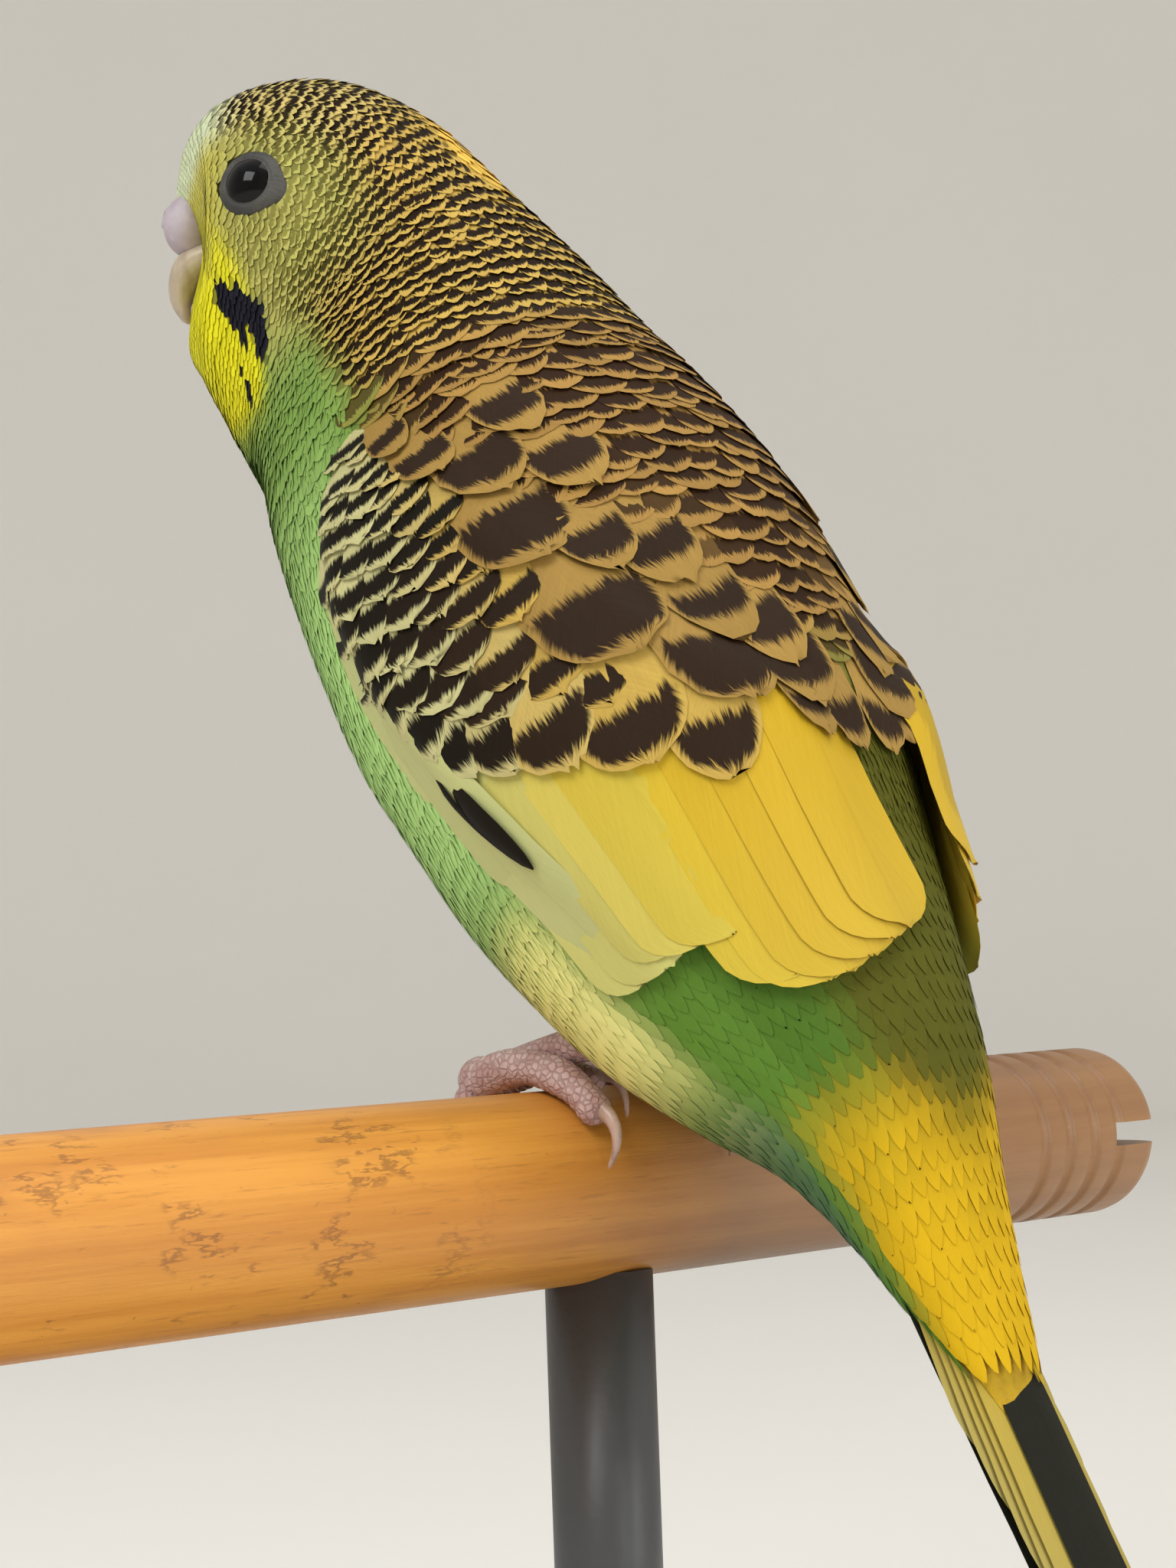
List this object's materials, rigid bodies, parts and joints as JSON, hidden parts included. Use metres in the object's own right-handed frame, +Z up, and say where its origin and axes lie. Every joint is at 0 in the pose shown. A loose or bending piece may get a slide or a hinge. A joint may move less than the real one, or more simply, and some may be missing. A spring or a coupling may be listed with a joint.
{
  "type": "budgerigar",
  "caption": "Life-size still model of a pied green and yellow budgerigar, head turned to its left, gripping a short cut dowel perch on a plain round stand.",
  "frame": {"origin": "centre of the underside of the stand's base", "axes": "+Z up; the bird faces -Y, its left side is +X and the perch runs along X"},
  "size_m": [0.147, 0.1212, 0.1653],
  "materials": {
    "head_plumage": "soft barred feathers",
    "body_plumage": "soft feathers",
    "tail_plumage": "sleek feathers",
    "wing_plumage": "sleek scalloped feathers",
    "eye": "wet gloss",
    "eye_ring": "matt skin",
    "cere": "waxy skin",
    "bill": "horn",
    "foot_skin": "scaly skin",
    "claw": "horn",
    "perch_wood": "varnished",
    "stand_metal": "satin dark paint"
  },
  "bodies": {
    "root": {"head": "head_plumage", "neck": "head_plumage", "torso": "body_plumage", "tail": "tail_plumage", "wing_left": "wing_plumage", "wing_right": "wing_plumage", "eye_left": "eye", "eye_right": "eye", "eyelid_left": "eye_ring", "eyelid_right": "eye_ring", "cere": "cere", "bill_upper": "bill", "bill_lower": "bill", "leg_left": "foot_skin", "leg_right": "foot_skin", "foot_left": "foot_skin", "foot_right": "foot_skin", "claw_left_1": "claw", "claw_left_2": "claw", "claw_left_3": "claw", "claw_left_4": "claw", "claw_right_1": "claw", "claw_right_2": "claw", "claw_right_3": "claw", "claw_right_4": "claw", "perch": "perch_wood", "stand_rod": "stand_metal", "stand_base": "stand_metal"}
  },
  "joints": []
}
